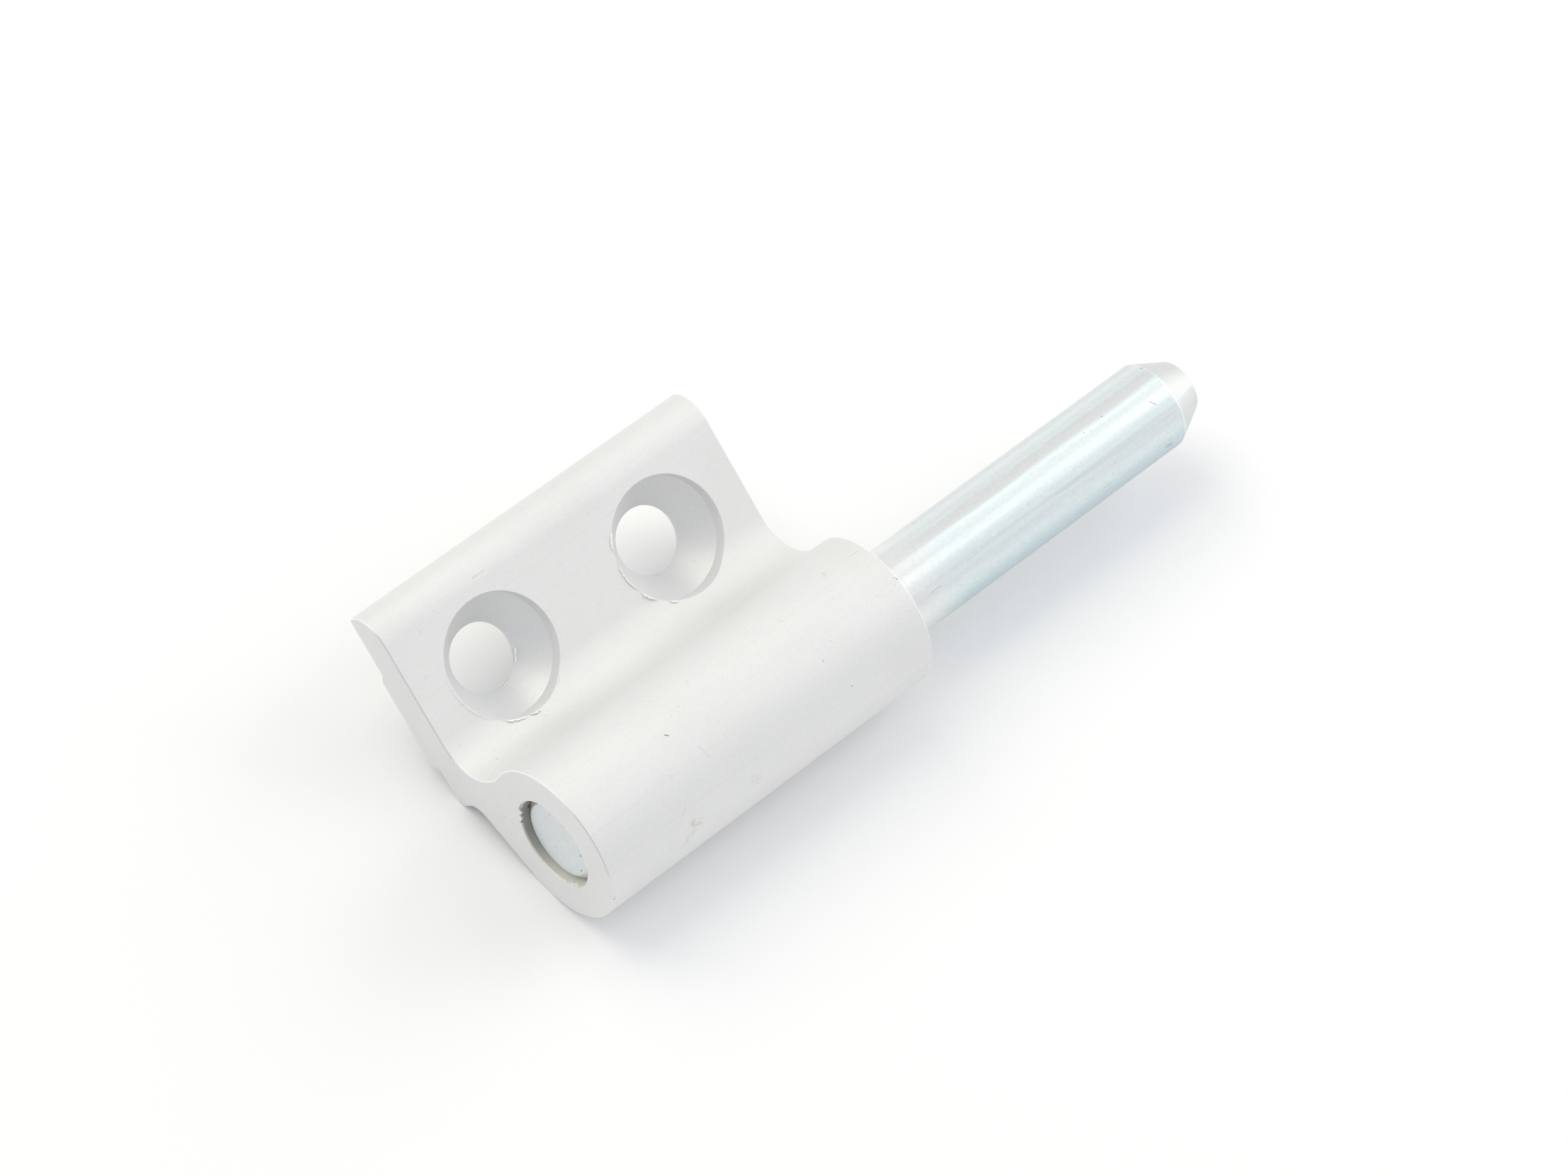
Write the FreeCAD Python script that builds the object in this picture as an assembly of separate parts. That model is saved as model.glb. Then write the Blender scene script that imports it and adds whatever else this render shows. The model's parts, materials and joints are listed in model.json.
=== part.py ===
import FreeCAD, Part

import math
import os

# Tailgate hinge, the half that carries the pin: an extruded aluminium leaf with a knuckle,
# and a steel pin pressed into the knuckle, on which the hinge's other half is hung.
#
# Frame, in millimetres: the origin is on the seating face, halfway between the two screws.
# +X runs along the pin to its free tip, +Y across the leaf to the leaf's tip, and +Z out of
# the seating face, the way the screw heads face.

# Leaf, seen along the pin
LEAF_LENGTH = 52.3          # length cut from the extrusion, along the pin
LEAF_FRONT = 6.12           # front of the leaf above the seating face
LEAF_TIP = 13.3             # screw line to the leaf's tip
TIP_ROUND = 4.2             # large round on the tip's front corner
TIP_BACK_ROUND = 0.6        # small round on the tip's back corner
TIP_RELIEF = 1.05           # the tip's back stands off the seating face by this much

# Raised land on the back, which seats against the tailgate or its post
LAND_TO_TIP = 4.5           # screw line to the land's edge on the tip's side
LAND_TO_HEEL = 7.2          # screw line to the land's edge on the heel's side
LAND_RUN = 0.9              # width of each sloping side of the land
LAND_EDGE_ROUND = 0.7
LAND_ROOT_ROUND = 0.35

# Heel, the leaf's back corner under the knuckle
HEEL_RELIEF = 1.55          # the heel's back stands off the seating face by this much
HEEL_CHAMFER = 1.0
NOTCH_HEIGHT = 5.7          # seating face to where the heel's wall meets the knuckle's underside
NOTCH_ROUND = 2.8           # hollow in that corner

# Knuckle, and the neck that joins it to the leaf
PIN_AXIS_TO_SCREWS = 19.13
PIN_AXIS_HEIGHT = 19.6      # above the seating face
KNUCKLE_DIAMETER = 20.7
NECK_INSET = 1.3            # the neck's front wall lies this far inside the knuckle's side
NECK_THICKNESS = 3.25       # neck's front wall to the heel's upright wall
NECK_LEAF_ROUND = 5.6       # hollow between the neck and the leaf
NECK_KNUCKLE_ROUND = 8.0    # hollow between the neck and the knuckle
EDGE_BREAK = 0.13           # chamfer round both sawn ends

# Screw holes, countersunk from the front
SCREW_SPACING = 27.05
SCREW_HOLE_DIAMETER = 8.7
SCREW_HOLE_LAND = 0.5       # height of the plain hole between the cone and the seating face
SINK_DIAMETER = 15.55
SINK_WALL = 1.95            # straight wall between the leaf's front and the cone

# Pin
PIN_DIAMETER = 12.0
PIN_PROJECTION = 53.0       # free length past the knuckle
PIN_RECESS = 0.9            # the rear end lies this far inside the knuckle
PIN_REAR_CHAMFER = 1.0
PIN_RELIEF_WIDTH = 1.5      # shallow groove just inside the knuckle, where the pressed shank ends
PIN_RELIEF_DEPTH = 0.3
PIN_TIP_DIAMETER = 7.3
PIN_TIP_CONE = 4.7          # length of the lead-in cone
PIN_SHOULDER_ROUND = 0.6    # between the plain pin and the cone
PIN_EDGE_ROUND = 0.3

# Mouth of the bore at the pin's rear. Pressing the pin in drew a thin lip inwards, and left a
# shallow pocket and a torn edge on each side. Angles are in degrees about the pin, from +Y
# towards +Z. Each place on a torn edge has its angle, and how far it stands inside the bore.
LIP_IN = 0.2
LIP_DEPTH = 0.3             # thickness of the lip and of the torn edges behind the left end
LEAF_SIDE_POCKET_OUT = 0.15
OUTER_SIDE_POCKET_OUT = 0.05
LEAF_SIDE_POCKET = (-34.0, 32.0)
OUTER_SIDE_POCKET = (122.0, 180.0)
LEAF_SIDE_TEAR = ((-57.0, 0.0), (-47.0, 0.5), (-44.5, 0.0), (-36.5, 0.5))
OUTER_SIDE_TEAR = ((182.5, 0.6), (190.5, 0.1), (194.5, 0.45), (204.0, 0.15))

# Places that follow from the sizes
LEFT_END = -LEAF_LENGTH / 2
RIGHT_END = LEAF_LENGTH / 2
PIN_RADIUS = PIN_DIAMETER / 2
KNUCKLE_RADIUS = KNUCKLE_DIAMETER / 2
PIN_REAR = LEFT_END + PIN_RECESS
PIN_TIP = RIGHT_END + PIN_PROJECTION
PIN_AXIS = FreeCAD.Vector(LEFT_END, -PIN_AXIS_TO_SCREWS, PIN_AXIS_HEIGHT)
ALONG_PIN = FreeCAD.Vector(1, 0, 0)
UPWARDS = FreeCAD.Vector(0, 0, 1)
TOUCHING = 1e-6             # places nearer than this are one place


def turned(centre, radius, degrees):
    """The point at a radius and angle about a centre, in the plane across the pin."""
    angle = math.radians(degrees)
    return centre + FreeCAD.Vector(0, radius * math.cos(angle), radius * math.sin(angle))


def arc(centre, radius, start, end):
    """An arc about a centre between two angles, in the plane across the pin."""
    places = [turned(centre, radius, degrees) for degrees in (start, (start + end) / 2, end)]
    return Part.Arc(*places).toShape()


def lines(places):
    """Straight lines from place to place, leaving out any of no length."""
    pairs = [(start, end) for start, end in zip(places, places[1:]) if start.distanceToPoint(end) > TOUCHING]
    return [Part.LineSegment(start, end).toShape() for start, end in pairs]


def rounded_line(corners):
    """Straight lines through corners, each a point and the radius that rounds it."""
    edges = []
    here = corners[0][0]
    for before, (corner, radius), after in zip(corners, corners[1:], corners[2:]):
        if radius:
            back = (before[0] - corner).normalize()
            ahead = (after[0] - corner).normalize()
            half = back.getAngle(ahead) / 2
            setback = radius / math.tan(half)
            crown = (back + ahead).normalize() * (radius / math.sin(half) - radius)
            places = [corner + back * setback, corner + crown, corner + ahead * setback]
            edges += lines([here, places[0]]) + [Part.Arc(*places).toShape()]
            here = places[-1]
        else:
            edges += lines([here, corner])
            here = corner
    return edges + lines([here, corners[-1][0]])


def leaf_section():
    """Section of the extrusion, with the knuckle still solid."""
    neck_out = KNUCKLE_RADIUS - NECK_INSET
    neck = PIN_AXIS.y + neck_out
    heel = neck - NECK_THICKNESS

    # The upper hollow of the neck touches the knuckle's round and the neck's front wall
    hollow_out = neck_out + NECK_KNUCKLE_ROUND
    hollow_down = math.sqrt((KNUCKLE_RADIUS + NECK_KNUCKLE_ROUND) ** 2 - hollow_out ** 2)
    hollow_angle = -math.degrees(math.atan2(hollow_down, hollow_out))
    hollow_centre = PIN_AXIS + FreeCAD.Vector(0, hollow_out, -hollow_down)
    hollow = arc(hollow_centre, NECK_KNUCKLE_ROUND, 180 + hollow_angle, 180)
    neck_top = turned(hollow_centre, NECK_KNUCKLE_ROUND, 180)

    # The flat underside runs from the notch up to the knuckle's round, along a tangent
    notch = FreeCAD.Vector(LEFT_END, heel, NOTCH_HEIGHT)
    notch_from_pin = notch - PIN_AXIS
    notch_angle = math.degrees(math.atan2(notch_from_pin.z, notch_from_pin.y))
    swing = math.degrees(math.acos(KNUCKLE_RADIUS / notch_from_pin.Length))
    underside_angle = 360 + notch_angle - swing
    underside_top = turned(PIN_AXIS, KNUCKLE_RADIUS, underside_angle)
    knuckle = arc(PIN_AXIS, KNUCKLE_RADIUS, hollow_angle, underside_angle)

    neck_round = min(NECK_LEAF_ROUND, neck_top.z - LEAF_FRONT)
    tip_round = min(TIP_ROUND, LEAF_FRONT - TIP_RELIEF - TIP_BACK_ROUND)
    outline = (
        (neck, LEAF_FRONT, neck_round),
        (LEAF_TIP, LEAF_FRONT, tip_round),
        (LEAF_TIP, TIP_RELIEF, TIP_BACK_ROUND),
        (LAND_TO_TIP + LAND_RUN, TIP_RELIEF, LAND_ROOT_ROUND),
        (LAND_TO_TIP, 0, LAND_EDGE_ROUND),
        (-LAND_TO_HEEL, 0, LAND_EDGE_ROUND),
        (-LAND_TO_HEEL - LAND_RUN, HEEL_RELIEF, LAND_ROOT_ROUND),
        (heel + HEEL_CHAMFER, HEEL_RELIEF, 0),
        (heel, HEEL_RELIEF + HEEL_CHAMFER, 0),
        (notch.y, notch.z, NOTCH_ROUND),
    )
    corners = [(FreeCAD.Vector(LEFT_END, y, z), radius) for y, z, radius in outline]
    leaf = rounded_line([(neck_top, 0)] + corners + [(underside_top, 0)])
    return Part.Face(Part.Wire(Part.__sortEdges__([hollow, knuckle] + leaf)))


def tear(places):
    """Corners of a torn edge of the bore's mouth."""
    return [turned(PIN_AXIS, PIN_RADIUS - inside, degrees) for degrees, inside in places]


def bore_mouth():
    """Opening of the bore in the left end, as deep as its lip and torn edges."""
    leaf_pocket = arc(PIN_AXIS, PIN_RADIUS + LEAF_SIDE_POCKET_OUT, *LEAF_SIDE_POCKET)
    outer_pocket = arc(PIN_AXIS, PIN_RADIUS + OUTER_SIDE_POCKET_OUT, *OUTER_SIDE_POCKET)
    lip = PIN_RADIUS - LIP_IN
    upper_lip = arc(PIN_AXIS, lip, LEAF_SIDE_POCKET[1], OUTER_SIDE_POCKET[0])
    lower_lip = arc(PIN_AXIS, lip, OUTER_SIDE_TEAR[-1][0], LEAF_SIDE_TEAR[0][0] + 360)
    round_the_rim = (
        (leaf_pocket, []),
        (upper_lip, []),
        (outer_pocket, tear(OUTER_SIDE_TEAR)),
        (lower_lip, tear(LEAF_SIDE_TEAR)),
    )
    edges = []
    for index, (piece, torn) in enumerate(round_the_rim):
        following = round_the_rim[(index + 1) % len(round_the_rim)][0]
        corners = [piece.lastVertex().Point] + torn + [following.firstVertex().Point]
        edges += [piece] + lines(corners)
    return Part.Face(Part.Wire(edges)).extrude(ALONG_PIN * LIP_DEPTH)


def screw_hole(x):
    """Plain hole, cone and straight wall of one countersunk hole, as the cutter leaves it."""
    hole_radius = SCREW_HOLE_DIAMETER / 2
    sink_radius = SINK_DIAMETER / 2
    wall_foot = LEAF_FRONT - SINK_WALL
    on_axis = FreeCAD.Vector(x, 0, 0)
    plain = Part.makeCylinder(hole_radius, LEAF_FRONT, on_axis)
    cone_height = wall_foot - SCREW_HOLE_LAND
    cone = Part.makeCone(hole_radius, sink_radius, cone_height, on_axis + UPWARDS * SCREW_HOLE_LAND)
    wall = Part.makeCylinder(sink_radius, PIN_AXIS_HEIGHT, on_axis + UPWARDS * wall_foot)
    return plain.fuse([cone, wall])


def hinge_leaf():
    """Extruded leaf and knuckle, sawn to length, its ends deburred, drilled and bored."""
    blank = leaf_section().extrude(ALONG_PIN * LEAF_LENGTH)
    ends = [
        edge for edge in blank.Edges
        if all(abs(abs(vertex.X) - RIGHT_END) < TOUCHING for vertex in edge.Vertexes)
        and abs(edge.CenterOfMass.x) > RIGHT_END / 2
    ]
    blank = blank.makeChamfer(EDGE_BREAK, ends)
    bore_start = PIN_AXIS + ALONG_PIN * LIP_DEPTH
    bore = Part.makeCylinder(PIN_RADIUS, LEAF_LENGTH - LIP_DEPTH, bore_start, ALONG_PIN)
    holes = [screw_hole(side * SCREW_SPACING / 2) for side in (-1, 1)]
    return blank.cut([bore, bore_mouth()] + holes)


def hinge_pin():
    """Turned pin: chamfered rear end, pressed shank, relief, free length and lead-in cone."""
    tip_radius = PIN_TIP_DIAMETER / 2
    relief_radius = PIN_RADIUS - PIN_RELIEF_DEPTH
    outline = (
        (PIN_REAR, PIN_RADIUS - PIN_REAR_CHAMFER, PIN_EDGE_ROUND),
        (PIN_REAR + PIN_REAR_CHAMFER, PIN_RADIUS, PIN_EDGE_ROUND),
        (RIGHT_END - PIN_RELIEF_WIDTH, PIN_RADIUS, 0),
        (RIGHT_END - PIN_RELIEF_WIDTH, relief_radius, 0),
        (RIGHT_END, relief_radius, 0),
        (RIGHT_END, PIN_RADIUS, 0),
        (PIN_TIP - PIN_TIP_CONE, PIN_RADIUS, PIN_SHOULDER_ROUND),
        (PIN_TIP, tip_radius, PIN_EDGE_ROUND),
    )
    rear_centre = FreeCAD.Vector(PIN_REAR, PIN_AXIS.y, PIN_AXIS.z)
    tip_centre = FreeCAD.Vector(PIN_TIP, PIN_AXIS.y, PIN_AXIS.z)
    corners = [
        (FreeCAD.Vector(x, PIN_AXIS.y, PIN_AXIS.z + radius), rounding)
        for x, radius, rounding in outline
    ]
    half = rounded_line([(rear_centre, 0)] + corners + [(tip_centre, 0)])
    half += lines([tip_centre, rear_centre])
    return Part.Face(Part.Wire(half)).revolve(PIN_AXIS, ALONG_PIN, 360)


os.makedirs("parts", exist_ok=True)
hinge_leaf().exportStep("parts/hinge_leaf.step")
hinge_pin().exportStep("parts/hinge_pin.step")
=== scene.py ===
import json
import math

import bpy
from mathutils import Matrix, Vector, noise


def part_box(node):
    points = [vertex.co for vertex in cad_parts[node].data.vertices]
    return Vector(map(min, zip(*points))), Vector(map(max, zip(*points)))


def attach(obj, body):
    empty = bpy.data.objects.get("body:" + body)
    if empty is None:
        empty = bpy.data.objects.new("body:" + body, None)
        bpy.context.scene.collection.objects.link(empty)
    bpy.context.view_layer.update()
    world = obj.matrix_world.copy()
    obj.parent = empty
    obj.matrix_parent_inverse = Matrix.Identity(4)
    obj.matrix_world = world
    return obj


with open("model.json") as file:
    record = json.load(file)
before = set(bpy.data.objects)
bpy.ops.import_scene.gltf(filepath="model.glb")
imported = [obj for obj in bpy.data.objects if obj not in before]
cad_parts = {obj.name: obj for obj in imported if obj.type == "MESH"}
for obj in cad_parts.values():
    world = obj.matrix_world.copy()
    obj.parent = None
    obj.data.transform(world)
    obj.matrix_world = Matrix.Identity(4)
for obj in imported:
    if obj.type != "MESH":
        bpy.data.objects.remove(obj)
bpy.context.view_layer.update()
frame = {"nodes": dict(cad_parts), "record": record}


# Hinge leaf: one length of aluminium extrusion, sawn off, its ends deburred, drilled and
# countersunk from the front, and bored for the pin. It is blasted to a fine matt grain and
# anodised in its natural colour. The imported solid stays, and gets this finish.
MM = 0.001
mounts = {mount["name"]: mount for mount in frame["record"]["mounts"]}
LEAF_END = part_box("hinge_leaf")[1].x
LEAF_EDGE_BREAK = 0.13 * MM
LEAF_EDGE_WEAR = 0.12 * MM
PIN_AXIS = Vector((0, *mounts["free_pin"]["pos_m"][1:]))
KNUCKLE_RADIUS = 10.35 * MM
BORE_MOUTH_RADIUS = 6.7 * MM
SCREW_TO_MIDDLE = mounts["screw_holes"]["dims"]["spacing_x_mm"] / 2 * MM
SINK_RADIUS = 7.775 * MM
TIP_BAND_Y = 7.97 * MM
TIP_BAND_Z = 0.79 * MM
TIP_BAND_RADIUS = 5.45 * MM
TIP_BAND_WIDTH = 0.08 * MM
# Colours
LEAF_WARM = (0.805, 0.80, 0.785)
LEAF_COOL = (0.79, 0.795, 0.795)
LEAF_MACHINED = (0.785, 0.79, 0.795)
LEAF_BORE_SHADE = (0.44, 0.43, 0.40)
LEAF_BORE_LIT = (0.94, 0.925, 0.86)
LEAF_WEAR_AND_HIGHLIGHT = (0.93, 0.93, 0.92)
LEAF_DULL = (0.62, 0.61, 0.59)
LEAF_DARK_CHAMFER = (0.48, 0.48, 0.47)
LEAF_DIRT = (0.16, 0.15, 0.14)
LEAF_SMEAR = (0.52, 0.46, 0.37)
# Patterns in the surface: size, detail, and roughness where it isn't the usual one
LEAF_GRAIN = (0.22 * MM, 3)
LEAF_FINE_GRAIN = (0.09 * MM, 1)
LEAF_CLOUDS = (14 * MM, 4)
LEAF_TINTS = (2.2 * MM, 3, 0.6)
LEAF_DIE_LINES = ((60 * MM, 0.5 * MM, 0.5 * MM), 3)
LEAF_SAW_LINES = ((1 * MM, 0.35 * MM, 30 * MM), 2)
LEAF_SPECKS = (0.6 * MM, 0)
LEAF_SMEAR_SPOTS = (0.4 * MM, 3, 0.7)
SINK_RINGS = 0.2 * MM
SINK_RINGS_DETAIL = 2
MARK_RAGGED_EDGE = (0.15 * MM, 1)
MARK_RAGGED = 0.9
# Noise runs from 0 to 1 about this middle
MIDDLE = 0.5
# Where each treatment starts and is full. A facing is a part of the surface's direction.
SAWN_FACING = (0.85, 0.95)
CHAMFER_FACING = (0.4, 0.6, 0.8, 0.9)
DARK_FACING_FRONT = (0.6, 0.68)
DARK_FACING_LEFT = (0, -0.3)
LIT_FACING_TIP = (0.2, 0.5)
LIT_FACING_RIGHT = (0, 0.3)
EDGE_TURN = (0.02, 0.2)
IN_SINK = (SINK_RADIUS + 0.03 * MM, SINK_RADIUS + 0.01 * MM)
NOT_FACING_BACK = (-0.5, -0.3)
IN_BORE = (BORE_MOUTH_RADIUS, BORE_MOUTH_RADIUS - 0.1 * MM)
BORE_FACING = (0.6, 0.4)
BORE_LIT_MOUTH_X = (0.6 * MM - LEAF_END, 0.05 * MM - LEAF_END)
BORE_LIT_OUTER_Y = (PIN_AXIS.y + 2 * MM, PIN_AXIS.y - 6 * MM)
TIP_BAND_REACH_Y = (9 * MM, 9.3 * MM)
TIP_BAND_REACH_Z = (1.8 * MM, 2.1 * MM)
SPECK_LEVELS = (0.82, 0.86)
SMEAR_LEVELS = (0.4, 0.7)
TINT_LEVELS = (0.2, 0.8)
DIE_LINE_LEVEL = 0.55
# How much of each shows in the colour
LEAST_WORN = 0.15
BORE_LIT_MOUTH_SHOWS = 0.5
BORE_LIT_OUTER_SHOWS = 0.75
MACHINED_SHOWS = 0.9
CLOUDS_SHOW = 0.5
DIE_LINES_SHOW = 0.5
GRAIN_SHOWS = 0.95
RINGS_SHOW = 0.3
EDGE_SHOWS = 0.5
TIP_HIGHLIGHT_SHOWS = 0.6
DARK_CHAMFER_SHOWS = 0.4
SPECKS_SHOW = 0.08
# Gloss
LEAF_METALLIC = 0.4
LEAF_ROUGHNESS = 0.56
GRAIN_ROUGHENS = 0.3
CLOUDS_ROUGHEN = 0.1
EDGE_SMOOTHS = 0.15
MACHINING_SMOOTHS = 0.08
# Bump
LEAF_BUMP = 0.35
LEAF_BUMP_DEPTH = 0.03 * MM
GRAIN_HEIGHT = 0.5
FINE_GRAIN_HEIGHT = 0.3
DIE_LINE_HEIGHT = 0.35
SAW_LINE_HEIGHT = 0.4
RING_HEIGHT = 0.5
SPECK_DEPTH = 0.6


class Value:
    """A socket in a material. Sums written in Python on it add Math nodes."""

    def __init__(self, socket):
        self.socket = socket

    def maths(self, operation, *values):
        node = self.socket.id_data.nodes.new("ShaderNodeMath")
        node.operation = operation
        for value, entry in zip(values, node.inputs):
            plug(value, entry)
        return Value(node.outputs[0])

    def __add__(self, other):
        return self.maths("ADD", self, other)

    def __sub__(self, other):
        return self.maths("SUBTRACT", self, other)

    def __rsub__(self, other):
        return self.maths("SUBTRACT", other, self)

    def __mul__(self, other):
        return self.maths("MULTIPLY", self, other)

    def __truediv__(self, other):
        return self.maths("DIVIDE", self, other)

    def __rtruediv__(self, other):
        return self.maths("DIVIDE", other, self)

    def __abs__(self):
        return self.maths("ABSOLUTE", self)

    __radd__ = __add__
    __rmul__ = __mul__

    def larger(self, other):
        """The larger of the value and another."""
        return self.maths("MAXIMUM", self, other)

    def held(self):
        """The value held between 0 and 1."""
        return self.maths("MINIMUM", self.larger(0), 1)

    def above(self, level):
        """How far the value is above a level, and 0 below it."""
        return (self - level).held()

    def below(self, level):
        """How far the value is below a level, and 0 above it."""
        return (level - self).held()

    def rise(self, start, end):
        """0 before start, 1 after end, and a smooth rise between, or a fall if end is lower."""
        part = ((self - start) * (1 / (end - start))).held()
        return part * part * (3 - 2 * part)

    def band(self, start, full, fading, end):
        """Rises from 0 to 1 between start and full, and falls to 0 between fading and end."""
        return self.rise(start, full) * self.rise(end, fading)


def plug(value, entry):
    """Sets a node's entry to a value, or links it to a socket."""
    if isinstance(value, Value):
        entry.id_data.links.new(value.socket, entry)
    elif isinstance(value, (tuple, Vector)) and entry.type == "RGBA":
        entry.default_value = (*value, 1)
    else:
        entry.default_value = value


class Finish:
    """The nodes of one material, or of the world."""

    def __init__(self, owner):
        owner.use_nodes = True
        self.owner = owner
        self.tree = owner.node_tree
        self.tree.nodes.clear()

    def node(self, kind, settings=None, sockets=None):
        """Adds a node of a type, with its settings, and the values or links of its sockets."""
        made = self.tree.nodes.new("ShaderNode" + kind)
        for name, value in (settings or {}).items():
            setattr(made, name, value)
        for name, value in (sockets or {}).items():
            plug(value, made.inputs[name])
        return {out.name: Value(out) for out in reversed(made.outputs) if out.enabled}

    def vector(self, operation, *values):
        """Vector Math on places. The last value of SCALE is a number."""
        sockets = dict(enumerate(values))
        if operation == "SCALE":
            sockets = {0: values[0], "Scale": values[1]}
        made = self.node("VectorMath", {"operation": operation}, sockets)
        gives_number = operation in ("DISTANCE", "DOT_PRODUCT", "LENGTH")
        return made["Value" if gives_number else "Vector"]

    def joined(self, x, y=0.0, z=0.0):
        """A place from its X, Y and Z."""
        return self.node("CombineXYZ", None, {0: x, 1: y, 2: z})["Vector"]

    def parts(self, place):
        """The X, Y and Z of a place or direction."""
        made = self.node("SeparateXYZ", None, {0: place})
        return made["X"], made["Y"], made["Z"]

    def blend(self, factor, first, second):
        """A colour that goes from the first to the second."""
        return self.node("Mix", {"data_type": "RGBA"}, {0: factor, 6: first, 7: second})["Result"]

    def noise(self, place, size, detail=2.0, rough=0.5):
        """Soft random values, 0 to 1. A size is in metres, and may differ along X, Y and Z."""
        if isinstance(size, tuple):
            place = self.vector("MULTIPLY", place, tuple(1 / length for length in size))
            size = 1
        sockets = {"Vector": place, "Scale": 1 / size, "Detail": detail, "Roughness": rough}
        return self.node("TexNoise", None, sockets)["Fac"]

    def marks(self, place, marks, inner=0.5):
        """Short lines and dots, each from one place to another, with a width and a strength.

        Inner is the part of the width that has the full strength."""
        ragged = (self.noise(place, *MARK_RAGGED_EDGE) - MIDDLE) * MARK_RAGGED
        found = 0.0
        for start, end, width, strength in marks:
            along = end - start
            length_squared = max(along.length_squared, 1e-12)
            from_start = self.vector("SUBTRACT", place, start)
            part = self.vector("DOT_PRODUCT", from_start, along) * (1 / length_squared)
            nearest = self.vector("SCALE", along, part.held())
            distance = self.vector("DISTANCE", from_start, nearest) * (1 / width) + ragged
            found = (distance.rise(1.0, inner) * strength).larger(found)
        return found

    def surface(self, shader):
        """Ends the material with its shader."""
        self.node("OutputMaterial", None, {"Surface": shader})


def round_the_pin(x, degrees, radius):
    """A place on a cylinder round the pin's axis, from the leaf's side (0) over the front (90)."""
    turn = math.radians(degrees)
    return PIN_AXIS + Vector((x * MM, radius * math.cos(turn), radius * math.sin(turn)))


def marks_round_the_pin(radius, *rows):
    """Marks on a cylinder round the pin: x and degrees of both ends, width and strength."""
    return [
        (round_the_pin(x1, turn1, radius), round_the_pin(x2, turn2, radius), width * MM, strength)
        for x1, turn1, x2, turn2, width, strength in rows
    ]


def marks_between(*rows):
    """Marks from the place of one end to the other's, in millimetres, with width and strength."""
    return [
        (Vector(start) * MM, Vector(end) * MM, width * MM, strength)
        for start, end, width, strength in rows
    ]


# Handling marks on the knuckle: dents and scratches
LEAF_MARKS = marks_round_the_pin(
    KNUCKLE_RADIUS,
    (23.9, 33.7, 25.1, 34.8, 0.07, 0.22), (-10.7, 60.7, -10.4, 62.2, 0.11, 0.75),
    (-8.2, 79.2, -7.7, 89.2, 0.06, 0.22), (25.9, 67.6, 26.0, 68.4, 0.12, 0.6),
    (25.6, 66.0, 25.8, 66.4, 0.10, 0.25), (25.2, 70.5, 25.3, 70.6, 0.09, 0.2),
    (22.3, 69.6, 22.5, 69.8, 0.08, 0.15), (23.2, 71.5, 23.3, 71.8, 0.07, 0.15),
    (24.4, 89.1, 24.5, 89.2, 0.08, 0.15), (11.5, 82.9, 11.6, 83.0, 0.10, 0.45),
    (13.4, 109.4, 13.5, 109.8, 0.10, 0.45), (13.8, 75.1, 13.9, 75.2, 0.08, 0.3),
    (-13.4, 107.6, -14.1, 112.5, 0.06, 0.18), (-6.9, 50.2, -6.8, 50.3, 0.08, 0.3),
    (-25.9, 139.2, -25.8, 139.8, 0.13, 0.6), (-25.8, 137.0, -25.7, 137.3, 0.09, 0.4),
)
# Marks on the leaf's end, neck and front, and at the bore's mouth
LEAF_MARKS += marks_between(
    ((-26.12, -6.45, 6.20), (-26.12, -6.55, 6.22), 0.10, 0.6),
    ((-26.15, -7.20, 6.32), (-26.15, -7.35, 6.36), 0.08, 0.5),
    ((-26.09, -7.66, 6.82), (-26.09, -7.78, 6.90), 0.10, 0.6),
    ((-26.00, -7.95, 7.12), (-26.00, -8.08, 7.22), 0.08, 0.5),
    ((-22.15, -9.28, 8.85), (-22.10, -9.36, 8.95), 0.12, 0.3),
    ((-26.15, -14.85, 11.10), (-26.15, -15.15, 11.55), 0.09, 0.3),
    ((-26.15, -15.95, 12.40), (-26.15, -16.02, 12.45), 0.09, 0.4),
    ((-24.63, -14.62, 15.64), (-24.60, -14.70, 15.60), 0.32, 1.0),
    ((-11.84, 9.76, 6.05), (-9.99, 9.82, 6.04), 0.08, 0.2),
    ((-26.12, -24.52, 18.05), (-26.12, -24.60, 18.20), 0.07, 0.7),
    ((-26.12, -24.88, 19.05), (-26.12, -24.93, 19.25), 0.07, 0.7),
    ((-26.00, -25.12, 19.50), (-25.95, -25.15, 19.62), 0.07, 0.6),
)
# Faint brown smears on the knuckle
LEAF_SMEARS = marks_round_the_pin(
    KNUCKLE_RADIUS,
    (-13.2, 124.0, -12.2, 127.0, 1.0, 0.75), (-14.8, 137.0, -13.2, 131.0, 0.9, 0.55),
    (-3.3, 124.0, -2.9, 127.5, 1.0, 0.5), (-14.5, 80.5, -13.6, 85.0, 1.6, 0.13),
    (19.6, 33.0, 20.4, 34.0, 0.7, 0.35),
)

silver = Finish(bpy.data.materials.new("blasted_anodised_aluminium"))
place = silver.node("TexCoord")["Object"]
x, y, z = silver.parts(place)
normal = silver.node("NewGeometry")["Normal"]
nx, ny, nz = silver.parts(normal)
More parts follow.
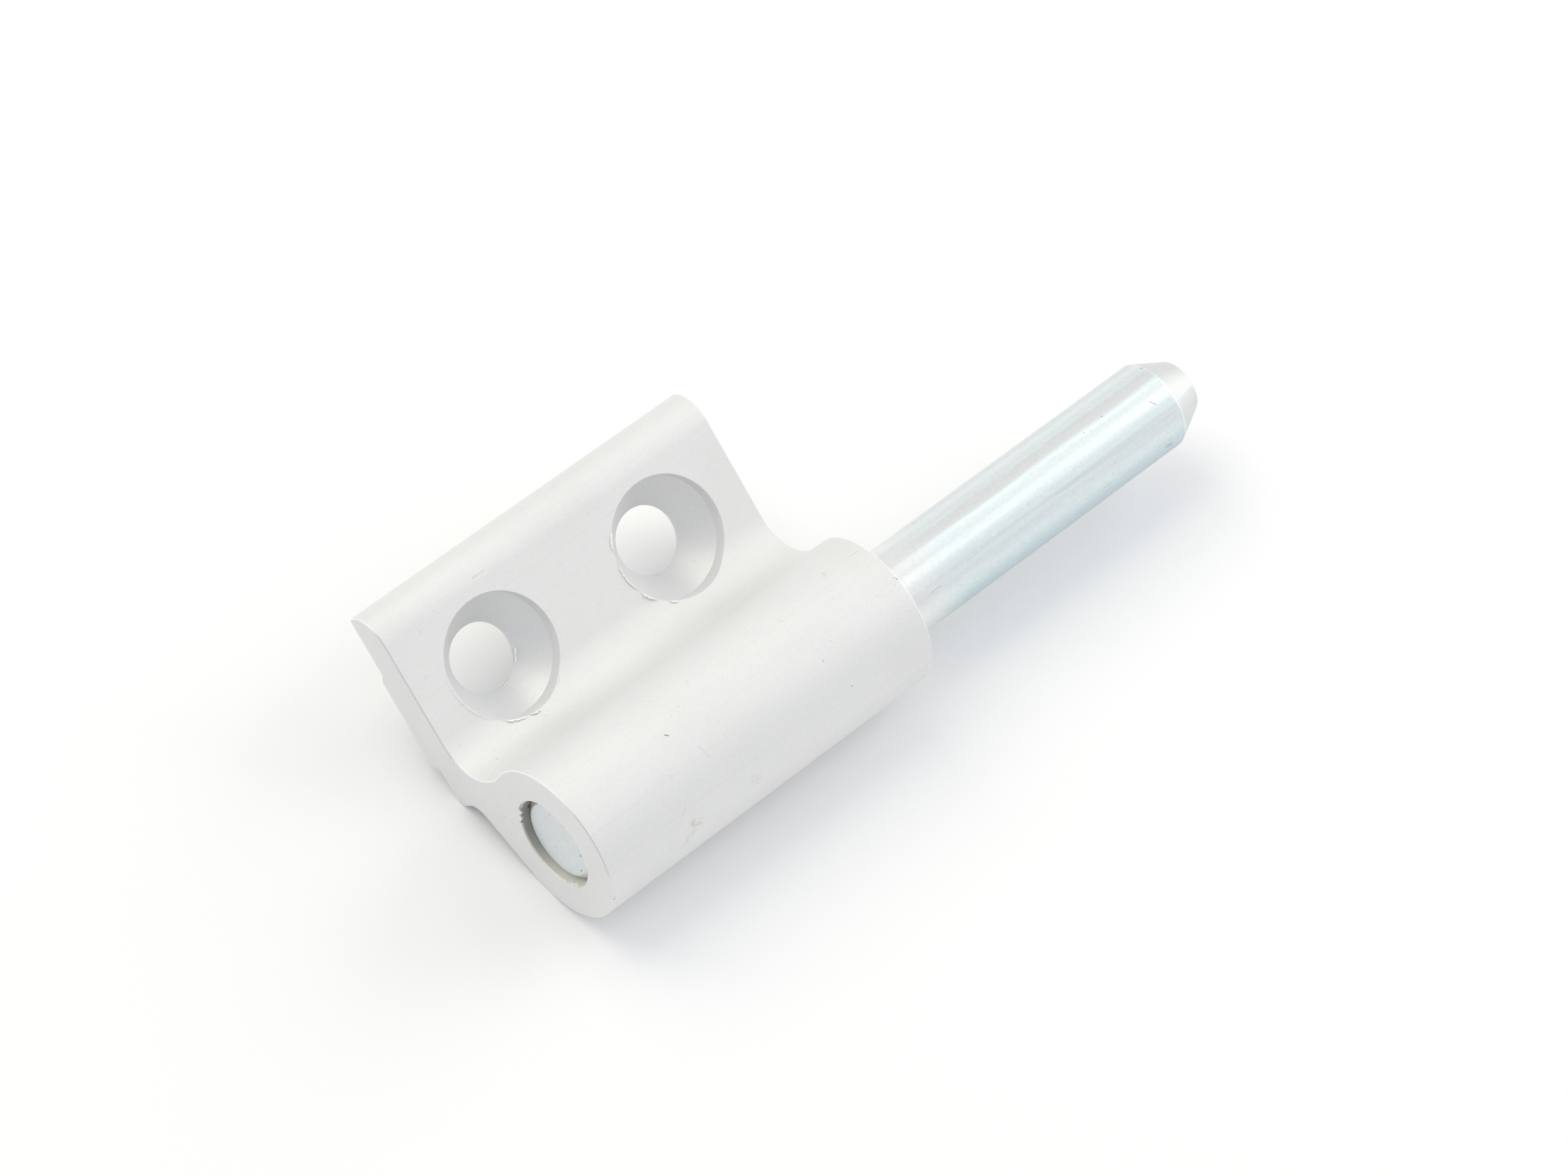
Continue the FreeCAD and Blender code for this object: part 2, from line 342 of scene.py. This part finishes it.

# The sawn ends and their chamfers. Where the chamfers face the tip and the right, towards the
# lamps, they are painted bright: a painted highlight over a little wear all round. On the left
# end, where they face the front, their colour is darker.
at_end = abs(x).rise(LEAF_END - 1.8 * LEAF_EDGE_BREAK, LEAF_END - LEAF_EDGE_BREAK)
sawn = at_end * abs(nx).rise(*SAWN_FACING)
chamfered = at_end * abs(nx).band(*CHAMFER_FACING)
# Chamfers on the left end that face the front are darker
dark_front_chamfer = chamfered * nz.rise(*DARK_FACING_FRONT) * nx.rise(*DARK_FACING_LEFT)
# Chamfers that face the tip or the right face the lamps, and get a painted highlight
facing_the_lamps = (ny.rise(*LIT_FACING_TIP) + nx.rise(*LIT_FACING_RIGHT)).held()
chamfer_wear_and_highlight = chamfered * (LEAST_WORN + (1 - LEAST_WORN) * facing_the_lamps)
soft_edge = silver.node("Bevel", {"samples": 4}, {"Radius": LEAF_EDGE_WEAR})["Normal"]
edge = (1 - silver.vector("DOT_PRODUCT", soft_edge, normal)).rise(*EDGE_TURN)

# The machined screw holes, and the bore. The bore's wall is painted dark inside as painted shade,
# and lighter towards its left mouth and on its side away from the leaf as painted light. The rest
# is as extruded.
screw_radius = silver.vector("LENGTH", silver.joined(abs(x) - SCREW_TO_MIDDLE, y))
machined = screw_radius.rise(*IN_SINK) * nz.rise(*NOT_FACING_BACK)
pin_radius = silver.vector("LENGTH", silver.joined(0.0, y - PIN_AXIS.y, z - PIN_AXIS.z))
bored = pin_radius.rise(*IN_BORE) * abs(nx).rise(*BORE_FACING)
# Painted light on the bore's wall: towards its left mouth and on its side away from the leaf
bore_lit = x.rise(*BORE_LIT_MOUTH_X) * BORE_LIT_MOUTH_SHOWS + y.rise(*BORE_LIT_OUTER_Y) * BORE_LIT_OUTER_SHOWS
extruded = (1 - at_end) * (1 - machined) * (1 - bored)

# A narrow band of the left end face along the tip's round is painted bright, a painted
# highlight, and the surface there is turned to lean outwards
from_tip = silver.joined(0.0, y - TIP_BAND_Y, z - TIP_BAND_Z)
tip_highlight = silver.vector("LENGTH", from_tip).rise(TIP_BAND_RADIUS, TIP_BAND_RADIUS + TIP_BAND_WIDTH)
tip_highlight = sawn * tip_highlight * y.rise(*TIP_BAND_REACH_Y) * z.rise(*TIP_BAND_REACH_Z)
leaning = silver.vector("SCALE", from_tip, tip_highlight / TIP_BAND_RADIUS)
facing = silver.vector("NORMALIZE", silver.vector("ADD", soft_edge, leaning))

grain = silver.noise(place, *LEAF_GRAIN)
fine_grain = silver.noise(place, *LEAF_FINE_GRAIN)
clouds = silver.noise(place, *LEAF_CLOUDS)
tints = silver.noise(place, *LEAF_TINTS)
die_lines = silver.noise(place, *LEAF_DIE_LINES)
saw_lines = silver.noise(place, *LEAF_SAW_LINES)
rings = silver.noise(silver.joined((screw_radius + z) / SINK_RINGS), 1, SINK_RINGS_DETAIL)
specks = silver.noise(place, *LEAF_SPECKS).rise(*SPECK_LEVELS)
marks = silver.marks(place, LEAF_MARKS)
smear_spots = silver.noise(place, *LEAF_SMEAR_SPOTS).rise(*SMEAR_LEVELS)
smears = silver.marks(place, LEAF_SMEARS, 0.0) * smear_spots

tone = silver.blend(tints.rise(*TINT_LEVELS), LEAF_WARM, LEAF_COOL)
tone = silver.blend(machined * MACHINED_SHOWS, tone, LEAF_MACHINED)
tone = silver.blend(clouds.above(MIDDLE) * CLOUDS_SHOW, tone, LEAF_DULL)
tone = silver.blend(extruded * die_lines.above(DIE_LINE_LEVEL) * DIE_LINES_SHOW, tone, LEAF_DULL)
tone = silver.blend(grain.above(MIDDLE) * GRAIN_SHOWS, tone, LEAF_DULL)
tone = silver.blend(machined * rings.above(MIDDLE) * RINGS_SHOW, tone, LEAF_DULL)
# The bore's wall: painted shade inside, blended towards painted light where it is painted lit
tone = silver.blend(bored, tone, silver.blend(bore_lit.held(), LEAF_BORE_SHADE, LEAF_BORE_LIT))
# Bright colour for rubbed edges, and painted highlights on the lamp-facing chamfers and along the tip's
# round
wear_and_highlight = (chamfer_wear_and_highlight + edge * EDGE_SHOWS + tip_highlight * TIP_HIGHLIGHT_SHOWS) * (MIDDLE + clouds)
tone = silver.blend(wear_and_highlight, tone, LEAF_WEAR_AND_HIGHLIGHT)
# Darker colour on the left end's front-facing chamfers
tone = silver.blend(dark_front_chamfer * DARK_CHAMFER_SHOWS, tone, LEAF_DARK_CHAMFER)
tone = silver.blend(smears, tone, LEAF_SMEAR)
tone = silver.blend((specks * SPECKS_SHOW).larger(marks), tone, LEAF_DIRT)
roughness = LEAF_ROUGHNESS + (grain - MIDDLE) * GRAIN_ROUGHENS + (clouds - MIDDLE) * CLOUDS_ROUGHEN
roughness = roughness - edge * EDGE_SMOOTHS - machined * MACHINING_SMOOTHS
height = grain * GRAIN_HEIGHT + fine_grain * FINE_GRAIN_HEIGHT
height = height + extruded * die_lines * DIE_LINE_HEIGHT + sawn * saw_lines * SAW_LINE_HEIGHT
height = height + machined * rings * RING_HEIGHT - specks * SPECK_DEPTH
bump = silver.node("Bump", None, {
    "Strength": LEAF_BUMP, "Distance": LEAF_BUMP_DEPTH, "Height": height, "Normal": facing,
})["Normal"]
silver.surface(silver.node("BsdfPrincipled", None, {
    "Base Color": tone, "Metallic": LEAF_METALLIC, "Roughness": roughness, "Normal": bump,
})["BSDF"])
leaf = frame["nodes"]["hinge_leaf"]
leaf.material_slots[0].material = silver.owner


# Burrs: thin, ragged lips of metal that the drill and the countersink raised along the rims of
# the screw holes and that the blasting left. Each rides on the leaf, a little sunk into it. Along
# most lips a dark strip lies on the leaf, on the side away from the lamps: a painted shadow.
THROUGH_RADIUS = mounts["screw_holes"]["dims"]["hole_r_mm"] * MM
ABOVE_THE_LEAF = 60 * MM
BURR_STEP = math.radians(1.0)
BURR_LEAST_STEPS = 6
BURR_OFF_RIM = 0.01 * MM
BURR_SINK = 0.03 * MM
BURR_RAGGED = 4.0
BURR_UNEVEN = 0.7
BURR_TAPER = 4
BURR_THINNEST = 0.02
# The lip's two upper corners, as parts of how far it reaches and how high it stands
LIP_ON_FRONT = ((0.1, 1), (0.75, 0.9))
LIP_ON_CONE = ((0.25, 1), (0.9, 1))
BURR_GRAIN = (0.15 * MM, 3, 0.7)
BURR_SHADE_LEVEL = 0.45
BURR_SHADE_SHOWS = 2.5
BURR_BRIGHT = (0.96, 0.96, 0.94)
BURR_SHADE = (0.84, 0.84, 0.83)
BURR_METALLIC = 0.35
BURR_ROUGHNESS = 0.4
BURR_GRAIN_ROUGHENS = 0.25
BURR_BUMP = 0.4
BURR_BUMP_DEPTH = 0.03 * MM
BURR_SHADOW_WIDTH = 0.06 * MM
BURR_SHADOW_HEIGHT = 0.012 * MM
BURR_SHADOW_GRAIN = (0.12 * MM, 2, 0.6)
BURR_SHADOW_DARK = (0.30, 0.30, 0.29)
BURR_SHADOW_PALE = (0.66, 0.66, 0.64)
BURR_SHADOW_ROUGHNESS = 0.75
BURR_SHADOW_ROUGHENS = 0.2
# screw hole, rim, from and to in degrees from +X, how far it reaches out, how high it stands,
# and whether a painted shadow lies along it
BURRS = (
    (-1, SINK_RADIUS, -196, -124, 0.13, 0.14, False),
    (-1, SINK_RADIUS, -125, -101, 0.24, 0.26, True),
    (-1, SINK_RADIUS, -100, -87, 0.16, 0.30, True),
    (-1, SINK_RADIUS, -60, -48, 0.10, 0.10, True),
    (-1, THROUGH_RADIUS, -44, -9, 0.20, 0.20, True),
    (-1, THROUGH_RADIUS, -100, -60, 0.09, 0.10, True),
    (1, SINK_RADIUS, 143, 163, 0.20, 0.16, True),
    (1, SINK_RADIUS, 171, 206, 0.17, 0.18, True),
    (1, SINK_RADIUS, 207, 226, 0.26, 0.26, True),
    (1, SINK_RADIUS, 235, 245, 0.20, 0.20, True),
    (1, THROUGH_RADIUS, -110, -96, 0.10, 0.10, True),
)


def surface_under(x, y):
    """The height of the leaf's front at a place, or None, which stops the script, off the leaf."""
    found, spot, _, _ = leaf.ray_cast(Vector((x, y, ABOVE_THE_LEAF)), Vector((0, 0, -1)))
    return spot.z if found else None


def across_the_lip(rim, out, stands, shadow_width):
    """The corners of a lip's section, out from its rim and up, and the corner its painted
    shadow is at.

    The painted shadow, a dark strip, lies outside a lip on the front, and inside one on a cone."""
    if rim == SINK_RADIUS:
        lip = [(part * out, share * stands) for part, share in LIP_ON_FRONT]
        flat = [(out, BURR_SHADOW_HEIGHT), (out + shadow_width, BURR_SHADOW_HEIGHT)]
        return [(0, -BURR_SINK), *lip, *flat, (out + shadow_width, -BURR_SINK)], 3
    lip = [(shadow_width + part * out, share * stands) for part, share in LIP_ON_CONE]
    flat = [(0, BURR_SHADOW_HEIGHT), (shadow_width, BURR_SHADOW_HEIGHT)]
    return [(0, -BURR_SINK), *flat, *lip, (shadow_width + out, -BURR_SINK)], 1


bpy.context.view_layer.update()
burr_points = []
burr_faces = []
shadow_faces = []
for side, rim, start, stop, reach, height, has_shadow in BURRS:
    steps = max(BURR_LEAST_STEPS, round(math.radians(stop - start) / BURR_STEP))
    first = len(burr_points)
    for step in range(steps + 1):
        turn = math.radians(start) + step * math.radians(stop - start) / steps
        spot = Vector((turn * rim / MM * BURR_RAGGED, side * 5, rim / MM))
        ragged = 1 + BURR_UNEVEN * noise.noise(spot)
        taper = min(1, BURR_TAPER * step / steps, BURR_TAPER * (steps - step) / steps)
        size = ragged * taper + BURR_THINNEST
        shadow_width = BURR_SHADOW_WIDTH * min(1, size)
        section, shadow_corner = across_the_lip(rim, reach * MM * size, height * MM * size, shadow_width)
        for across, up in section:
            radius = rim + BURR_OFF_RIM + across
            spot_x = side * SCREW_TO_MIDDLE + radius * math.cos(turn)
            spot_y = radius * math.sin(turn)
            burr_points.append((spot_x, spot_y, surface_under(spot_x, spot_y) + up))
    corners = len(section)
    for step in range(steps):
        for corner in range(corners):
            here = first + step * corners + corner
            beside = first + step * corners + (corner + 1) % corners
            if has_shadow and corner == shadow_corner:
                shadow_faces.append(len(burr_faces))
            burr_faces.append((here, beside, beside + corners, here + corners))
    burr_faces.append(tuple(first + corner for corner in reversed(range(corners))))
    burr_faces.append(tuple(first + steps * corners + corner for corner in range(corners)))
burr_mesh = bpy.data.meshes.new("screw_hole_burrs")
burr_mesh.from_pydata(burr_points, [], burr_faces)

bare = Finish(bpy.data.materials.new("bare_aluminium"))
place = bare.node("TexCoord")["Object"]
grain = bare.noise(place, *BURR_GRAIN)
tone = bare.blend(grain.above(BURR_SHADE_LEVEL) * BURR_SHADE_SHOWS, BURR_BRIGHT, BURR_SHADE)
roughness = BURR_ROUGHNESS + grain * BURR_GRAIN_ROUGHENS
bump = bare.node("Bump", None, {
    "Strength": BURR_BUMP, "Distance": BURR_BUMP_DEPTH, "Height": grain,
})["Normal"]
bare.surface(bare.node("BsdfPrincipled", None, {
    "Base Color": tone, "Metallic": BURR_METALLIC, "Roughness": roughness, "Normal": bump,
})["BSDF"])
burr_mesh.materials.append(bare.owner)

# A dark strip along the lips, on their side away from the lamps: a painted shadow
burr_shadow = Finish(bpy.data.materials.new("painted_shadow_along_burrs"))
place = burr_shadow.node("TexCoord")["Object"]
grain = burr_shadow.noise(place, *BURR_SHADOW_GRAIN)
tone = burr_shadow.blend(grain, BURR_SHADOW_DARK, BURR_SHADOW_PALE)
roughness = BURR_SHADOW_ROUGHNESS + grain * BURR_SHADOW_ROUGHENS
burr_shadow.surface(burr_shadow.node("BsdfPrincipled", None, {
    "Base Color": tone, "Roughness": roughness,
})["BSDF"])
burr_mesh.materials.append(burr_shadow.owner)
for face in shadow_faces:
    burr_mesh.polygons[face].material_index = 1

burrs = bpy.data.objects.new("screw_hole_burrs", burr_mesh)
bpy.context.scene.collection.objects.link(burrs)
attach(burrs, "root")


# Hinge pin: drawn steel bar, its cone turned, bright zinc plated with faint blue streaks, and
# pressed into the knuckle from the left. Bands round it are painted light and shade: a brown
# painted reflection, a painted highlight line, and painted shade. The imported solid stays, and
# gets this finish.
PIN_RADIUS = mounts["free_pin"]["dims"]["r_mm"] * MM
PIN_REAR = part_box("hinge_pin")[0].x
PIN_CONE_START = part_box("hinge_pin")[1].x - 4.7 * MM
# Colours
PIN_ZINC = (0.83, 0.88, 0.88)
PIN_BLUE = (0.535, 0.66, 0.70)
PIN_BROWN_REFLECTION = (0.79, 0.795, 0.785)
PIN_PAINTED_SHADE = (0.69, 0.72, 0.735)
PIN_LOW_SHADE = (0.44, 0.57, 0.61)
PIN_FOOT = (0.86, 0.86, 0.84)
PIN_BRIGHT_AND_HIGHLIGHT = (0.88, 0.96, 0.97)
PIN_TURNED = (0.68, 0.69, 0.685)
PIN_DULL = (0.60, 0.63, 0.64)
PIN_DIRT = (0.20, 0.20, 0.20)
PIN_GLINT = (1.0, 1.0, 1.0)
# Patterns in the surface: size, detail, and roughness where it isn't the usual one
PIN_STREAKS = ((18 * MM, 1.5 * MM, 1.5 * MM), 3, 0.6)
PIN_FINE_STREAKS = ((18 * MM, 0.35 * MM, 0.35 * MM), 2)
PIN_GRAIN = (0.5 * MM, 3, 0.6)
PIN_FINE_GRAIN = (0.18 * MM, 2)
PIN_LATHE_RINGS = 0.16 * MM
PIN_LATHE_RINGS_DETAIL = 1
# Along the bar
TURNED_X = (PIN_CONE_START - 0.1 * MM, PIN_CONE_START + 0.1 * MM)
SHOULDER_X = (
    PIN_CONE_START - 0.15 * MM, PIN_CONE_START,
    PIN_CONE_START + 0.05 * MM, PIN_CONE_START + 0.2 * MM,
)
DEEP_RINGS_X = (PIN_CONE_START + 2.2 * MM, PIN_CONE_START)
DEEP_RING_LEVELS = (0.45, 0.6)
FOOT_X = (38 * MM, 28 * MM)
END_FACING = (0.9, 0.97)
# Bands painted round the pin in place of its reflections and shade, each given by where it starts,
# is full, fades and ends, in degrees round the pin from the leaf's side over the front: painted
# shade towards the leaf, over the highlight and on the lower side, a brown painted reflection, and
# a painted highlight line. The bright line fades in two steps, and the last two bands have no end.
SHADE_TOWARDS_LEAF = (-14, -2, 6, 20)
BROWN_REFLECTION_BAND = (32, 36, 47, 50)
FAR_BROWN = (-70, -62, -55, -48)
DIM_HIGHLIGHT_BAND = (48, 56, 92, 98)
DIM_HIGHLIGHT_SHOWS = 0.12
DIM_TOP_BAND = (72, 82, 90, 97)
DIM_TOP_SHOWS = 0.2
BRIGHT_LINE_START = (49, 52)
BRIGHT_LINE_WIDE_END = (64, 60)
BRIGHT_LINE_WIDE_SHOWS = 0.4
BRIGHT_LINE_NARROW_END = (57, 55)
BRIGHT_LINE_NARROW_SHOWS = 0.6
BLUE_SHADED_SIDE = (95, 148)
LOW_SHADED_SIDE = (150, 167)
STREAKS_WANDER = 9
GRAIN_WANDERS = 3
# How much of each shows in the colour
STREAKS_SHOW = 0.9
FOOT_SHOWS = 0.8
FINE_STREAKS_SHOW = 0.8
PIN_GRAIN_SHOWS = 0.8
PIN_FINE_GRAIN_SHOWS = 0.7
TURNED_SHOWS = 0.7
LATHE_RINGS_SHOW = 0.5
DEEP_RINGS_SHOW = 0.5
SHOULDER_SHOWS = 0.6
END_SHOWS = 0.35
# Gloss and bump
PIN_METALLIC = 0.65
PIN_ROUGHNESS = 0.35
PIN_GRAIN_ROUGHENS = 0.06
PIN_STREAKS_ROUGHEN = 0.08
TURNING_ROUGHENS = 0.15
PIN_BUMP = 0.12
PIN_BUMP_DEPTH = 0.04 * MM
PIN_GRAIN_HEIGHT = 0.5
PIN_FINE_GRAIN_HEIGHT = 0.25
PIN_STREAK_HEIGHT = 0.5
PIN_RING_HEIGHT = 0.9
PIN_MARKS = marks_round_the_pin(
    PIN_RADIUS,
    (71.2, 70.5, 71.6, 77.0, 0.10, 0.6), (71.2, 136.0, 72.0, 139.0, 0.35, 0.3),
    (61.2, 53.5, 61.3, 53.6, 0.14, 0.3), (62.1, 56.1, 62.2, 56.2, 0.12, 0.3),
    (64.7, 50.0, 64.8, 50.5, 0.12, 0.5), (74.2, 26.8, 74.3, 27.0, 0.14, 0.5),
    (71.1, 15.2, 71.2, 15.4, 0.10, 0.3), (48.7, 82.8, 48.9, 83.0, 0.14, 0.2),
    (62.5, 105.5, 62.6, 105.6, 0.10, 0.35), (29.5, 76.0, 29.8, 79.0, 0.10, 0.15),
    (31.1, 100.2, 32.5, 99.4, 0.07, 0.3), (60.0, 128.0, 61.2, 127.0, 0.10, 0.3),
    (53.0, 93.5, 73.5, 98.5, 0.28, 0.08),
)
# Specks on the rear end face: Y and Z of both ends, width and strength
REAR_MARKS = (
    ((-21.22, 23.10), (-21.42, 22.75), 0.11, 0.8),
    ((-23.30, 21.05), (-23.42, 20.70), 0.11, 0.8),
    ((-15.45, 21.00), (-15.60, 21.15), 0.09, 0.5),
    ((-17.15, 22.55), (-17.30, 22.65), 0.09, 0.5),
    ((-19.90, 17.90), (-20.20, 17.75), 0.08, 0.3),
)
for start, end, width, strength in REAR_MARKS:
    PIN_MARKS += marks_between(((PIN_REAR / MM, *start), (PIN_REAR / MM, *end), width, strength))
# Painted glints, white spots in the colour: x and degrees
GLINTS = ((42.5, 88.1), (39.6, 91.4), (38.5, 92.2), (30.3, 91.7), (37.2, 95.0))
GLINT_WIDTH = 0.13
GLINT_SHOWS = 0.9
PIN_GLINTS = marks_round_the_pin(
    PIN_RADIUS, *((x, turn, x, turn, GLINT_WIDTH, GLINT_SHOWS) for x, turn in GLINTS)
)

zinc = Finish(bpy.data.materials.new("zinc_plated_steel"))
place = zinc.node("TexCoord")["Object"]
x, y, z = zinc.parts(zinc.vector("SUBTRACT", place, PIN_AXIS))
nx, _, _ = zinc.parts(zinc.node("NewGeometry")["Normal"])
turned = x.rise(*TURNED_X)
shoulder = x.band(*SHOULDER_X)
end_face = abs(nx).rise(*END_FACING)
drawn = (1 - turned) * (1 - end_face)
streaks = zinc.noise(place, *PIN_STREAKS)
fine_streaks = zinc.noise(place, *PIN_FINE_STREAKS)
grain = zinc.noise(place, *PIN_GRAIN)
fine_grain = zinc.noise(place, *PIN_FINE_GRAIN)
rings = zinc.noise(zinc.joined(x / PIN_LATHE_RINGS), 1, PIN_LATHE_RINGS_DETAIL)
deep_rings = x.rise(*DEEP_RINGS_X) * rings.rise(*DEEP_RING_LEVELS)
marks = zinc.marks(place, PIN_MARKS)
glints = zinc.marks(place, PIN_GLINTS)

# The bands run along the bar, and their edges wander a few degrees
wander = (streaks - MIDDLE) * STREAKS_WANDER + (grain - MIDDLE) * GRAIN_WANDERS
degrees = x.maths("ARCTAN2", z, y) * math.degrees(1) + wander
brown_reflection = (degrees.band(*BROWN_REFLECTION_BAND) + degrees.band(*FAR_BROWN)).held()
# Painted shade that dims the highlight and its upper flank
dimmed_highlight = DIM_HIGHLIGHT_SHOWS * degrees.band(*DIM_HIGHLIGHT_BAND) + DIM_TOP_SHOWS * degrees.band(*DIM_TOP_BAND)
blue_shade = (degrees.rise(*BLUE_SHADED_SIDE) + dimmed_highlight).held()
wide_line = BRIGHT_LINE_WIDE_SHOWS * degrees.rise(*BRIGHT_LINE_WIDE_END)
narrow_line = BRIGHT_LINE_NARROW_SHOWS * degrees.rise(*BRIGHT_LINE_NARROW_END)
highlight_line = degrees.rise(*BRIGHT_LINE_START) * (wide_line + narrow_line)
dull_grain = grain.above(MIDDLE) * PIN_GRAIN_SHOWS + fine_grain.above(MIDDLE) * PIN_FINE_GRAIN_SHOWS
bright_grain = grain.below(MIDDLE) + fine_grain.below(MIDDLE) * PIN_FINE_GRAIN_SHOWS

# Painted shade on the side towards the leaf
tone = zinc.blend(drawn * degrees.band(*SHADE_TOWARDS_LEAF), PIN_ZINC, PIN_PAINTED_SHADE)
# A brown band, a painted reflection, with the same band on the far side
tone = zinc.blend(drawn * brown_reflection, tone, PIN_BROWN_REFLECTION)
# Painted shade: the plating's blue, deepened and darkened on the lower side and over the highlight
tone = zinc.blend(drawn * blue_shade, tone, PIN_BLUE)
# Painted shade, darker still, along the bottom
tone = zinc.blend(drawn * degrees.rise(*LOW_SHADED_SIDE), tone, PIN_LOW_SHADE)
# A painted highlight line along the bar
tone = zinc.blend(drawn * highlight_line, tone, PIN_BRIGHT_AND_HIGHLIGHT)
tone = zinc.blend(streaks.above(MIDDLE) * STREAKS_SHOW, tone, PIN_BLUE)
tone = zinc.blend(drawn * (x.rise(*FOOT_X) * FOOT_SHOWS), tone, PIN_FOOT)
tone = zinc.blend(drawn * fine_streaks.above(MIDDLE) * FINE_STREAKS_SHOW, tone, PIN_DULL)
tone = zinc.blend(dull_grain, tone, PIN_DULL)
tone = zinc.blend(bright_grain.held(), tone, PIN_BRIGHT_AND_HIGHLIGHT)
tone = zinc.blend(turned * (TURNED_SHOWS + rings * LATHE_RINGS_SHOW).held(), tone, PIN_TURNED)
tone = zinc.blend(turned * deep_rings * DEEP_RINGS_SHOW, tone, PIN_DULL)
tone = zinc.blend(shoulder * SHOULDER_SHOWS, tone, PIN_BRIGHT_AND_HIGHLIGHT)
tone = zinc.blend(end_face * END_SHOWS, tone, PIN_DULL)
tone = zinc.blend(marks, tone, PIN_DIRT)
# Painted glints
tone = zinc.blend(glints, tone, PIN_GLINT)
roughness = PIN_ROUGHNESS + (grain - MIDDLE) * PIN_GRAIN_ROUGHENS
roughness = roughness + (streaks - MIDDLE) * PIN_STREAKS_ROUGHEN + (turned + end_face) * TURNING_ROUGHENS
height = grain * PIN_GRAIN_HEIGHT + fine_grain * PIN_FINE_GRAIN_HEIGHT
height = height + drawn * fine_streaks * PIN_STREAK_HEIGHT + turned * rings * PIN_RING_HEIGHT - marks
bump = zinc.node("Bump", None, {
    "Strength": PIN_BUMP, "Distance": PIN_BUMP_DEPTH, "Height": height,
})["Normal"]
zinc.surface(zinc.node("BsdfPrincipled", None, {
    "Base Color": tone, "Metallic": PIN_METALLIC, "Roughness": roughness, "Normal": bump,
})["BSDF"])
pin = frame["nodes"]["hinge_pin"]
pin.material_slots[0].material = zinc.owner


# Table under the hinge: plain white, far wider than the view. The hinge lies on it on its
# knuckle and its heel, so the table slopes in the hinge's own frame. It shows nearly white
# to the camera, takes the hinge's soft shadow, and is clear when it is seen from below.
TABLE_WHITE = (0.93, 0.93, 0.935)
TABLE_RADIUS = 1.5
TABLE_CORNERS = 96
TABLE_CLEARANCE = 0.02 * MM
HEEL_CORNER = Vector((0, -12.33 * MM, 1.55 * MM))

to_knuckle = PIN_AXIS - HEEL_CORNER
slope = math.atan2(to_knuckle.z, -to_knuckle.y) - math.asin(KNUCKLE_RADIUS / to_knuckle.length)
tilt = Matrix.Rotation(-slope, 3, "X")
table_rim = []
for corner in range(TABLE_CORNERS):
    turn = math.tau * corner / TABLE_CORNERS
    across = TABLE_RADIUS * math.cos(turn)
    along = TABLE_RADIUS * math.sin(turn)
    table_rim.append(HEEL_CORNER + tilt @ Vector((across, along, -TABLE_CLEARANCE)))
table_mesh = bpy.data.meshes.new("table")
table_mesh.from_pydata(table_rim, [], [list(range(TABLE_CORNERS))])
table = bpy.data.objects.new("table", table_mesh)
bpy.context.scene.collection.objects.link(table)

white = Finish(bpy.data.materials.new("white_table"))
below = white.node("NewGeometry")["Backfacing"] * white.node("LightPath")["Is Camera Ray"]
lit = white.node("BsdfDiffuse", None, {"Color": TABLE_WHITE})["BSDF"]
clear = white.node("BsdfTransparent")["BSDF"]
white.surface(white.node("MixShader", None, {0: below, 1: lit, 2: clear})["Shader"])
table_mesh.materials.append(white.owner)


# Light: an even, bright, slightly cool room and two wide soft lamps, one beyond the leaf's tip
# and one to the right of the pin. Two small ones higher up draw the bright lines on the pin.
ROOM_TONE = (0.716, 0.726, 0.762)
LAMP_DISTANCE = 1.0
LAMPS = (
    # name, direction from the hinge, size, power, colour
    ("tip_lamp", (-0.167, 0.930, 0.326), 0.8, 3.6, (1.0, 0.98, 0.78)),
    ("pin_lamp", (0.883, 0.090, 0.461), 0.8, 3.3, (1.0, 0.99, 0.92)),
    ("top_lamp", (0.479, 0.288, 0.828), 0.3, 0.20, (1.0, 0.99, 0.93)),
    ("line_lamp", (0.479, 0.703, 0.526), 0.2, 0.12, (1.0, 0.99, 0.93)),
)

world = bpy.data.worlds.new("white_room")
bpy.context.scene.world = world
room = Finish(world)
sky = room.node("Background", None, {"Color": ROOM_TONE, "Strength": 1.0})["Background"]
room.node("OutputWorld", None, {"Surface": sky})

for name, towards, size, power, colour in LAMPS:
    lamp_data = bpy.data.lights.new(name, "AREA")
    lamp_data.shape = "SQUARE"
    lamp_data.size = size
    lamp_data.energy = power
    lamp_data.color = colour
    lamp = bpy.data.objects.new(name, lamp_data)
    lamp.location = Vector(towards) * LAMP_DISTANCE
    lamp.rotation_mode = "QUATERNION"
    lamp.rotation_quaternion = Vector(towards).to_track_quat("Z", "Y")
    bpy.context.scene.collection.objects.link(lamp)


# Camera: above the leaf's left end, looking down along the pin, turned so that the pin
# points up and to the right.
CAMERA_PLACE = Vector((-0.28213, 0.13666, 0.61196))
CAMERA_FORWARD = Vector((0.4401, -0.2163, -0.8715)).normalized()
CAMERA_UP = Vector((0.5271, 0.848, 0.0557))
CAMERA_LENS = 129.45
SENSOR_WIDTH = 36.0

camera_data = bpy.data.cameras.new("camera")
camera_data.lens = CAMERA_LENS
camera_data.sensor_width = SENSOR_WIDTH
camera = bpy.data.objects.new("camera", camera_data)
right = CAMERA_FORWARD.cross(CAMERA_UP).normalized()
aim = Matrix((right, right.cross(CAMERA_FORWARD), -CAMERA_FORWARD)).transposed().to_4x4()
camera.matrix_world = Matrix.Translation(CAMERA_PLACE) @ aim
bpy.context.scene.collection.objects.link(camera)
bpy.context.scene.camera = camera

bpy.context.scene.view_settings.view_transform = "Standard"
